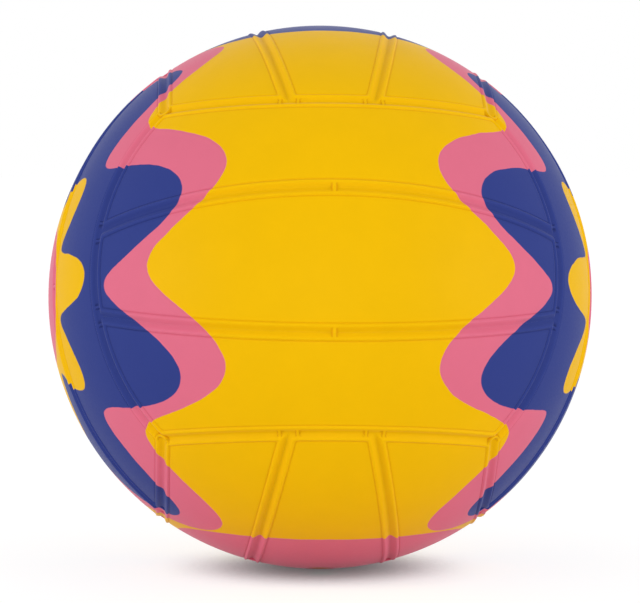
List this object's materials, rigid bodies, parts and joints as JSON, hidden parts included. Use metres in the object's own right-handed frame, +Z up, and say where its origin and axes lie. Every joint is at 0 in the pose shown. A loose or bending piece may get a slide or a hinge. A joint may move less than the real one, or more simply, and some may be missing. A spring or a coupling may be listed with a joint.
{
  "type": "water polo ball",
  "caption": "Water polo ball: rubber cover of strip panels in raised-edge seam channels over a carcass, nylon winding and bladder, with a needle valve.",
  "frame": {"origin": "centre of the ball", "axes": "+Z up, -Y the side seen in the picture, +X to the right of it. The ball lies as in the picture, rolled back 10.6 degrees and turned 2.9 degrees from having its valve straight below."},
  "size_m": [0.221, 0.2218, 0.221],
  "materials": {
    "front_upper_panel": "matte",
    "front_centre_panel": "matte",
    "front_lower_panel": "matte",
    "back_upper_panel": "matte",
    "back_centre_panel": "matte",
    "back_lower_panel": "matte",
    "left_front_panel": "matte",
    "left_centre_panel": "matte",
    "left_back_panel": "matte",
    "right_front_panel": "matte",
    "right_centre_panel": "matte",
    "right_back_panel": "matte",
    "top_left_panel": "matte",
    "top_centre_panel": "matte",
    "top_right_panel": "matte",
    "bottom_left_panel": "matte",
    "bottom_centre_panel": "matte",
    "bottom_right_panel": "matte",
    "carcass": "matte",
    "winding": "matte",
    "bladder": "matte",
    "valve_housing": "matte",
    "valve_core": "matte"
  },
  "bodies": {
    "root": {"front_upper_panel": "front_upper_panel", "front_centre_panel": "front_centre_panel", "front_lower_panel": "front_lower_panel", "back_upper_panel": "back_upper_panel", "back_centre_panel": "back_centre_panel", "back_lower_panel": "back_lower_panel", "left_front_panel": "left_front_panel", "left_centre_panel": "left_centre_panel", "left_back_panel": "left_back_panel", "right_front_panel": "right_front_panel", "right_centre_panel": "right_centre_panel", "right_back_panel": "right_back_panel", "top_left_panel": "top_left_panel", "top_centre_panel": "top_centre_panel", "top_right_panel": "top_right_panel", "bottom_left_panel": "bottom_left_panel", "bottom_centre_panel": "bottom_centre_panel", "bottom_right_panel": "bottom_right_panel", "carcass": "carcass", "winding": "winding", "bladder": "bladder", "valve_housing": "valve_housing", "valve_core": "valve_core"}
  },
  "joints": []
}
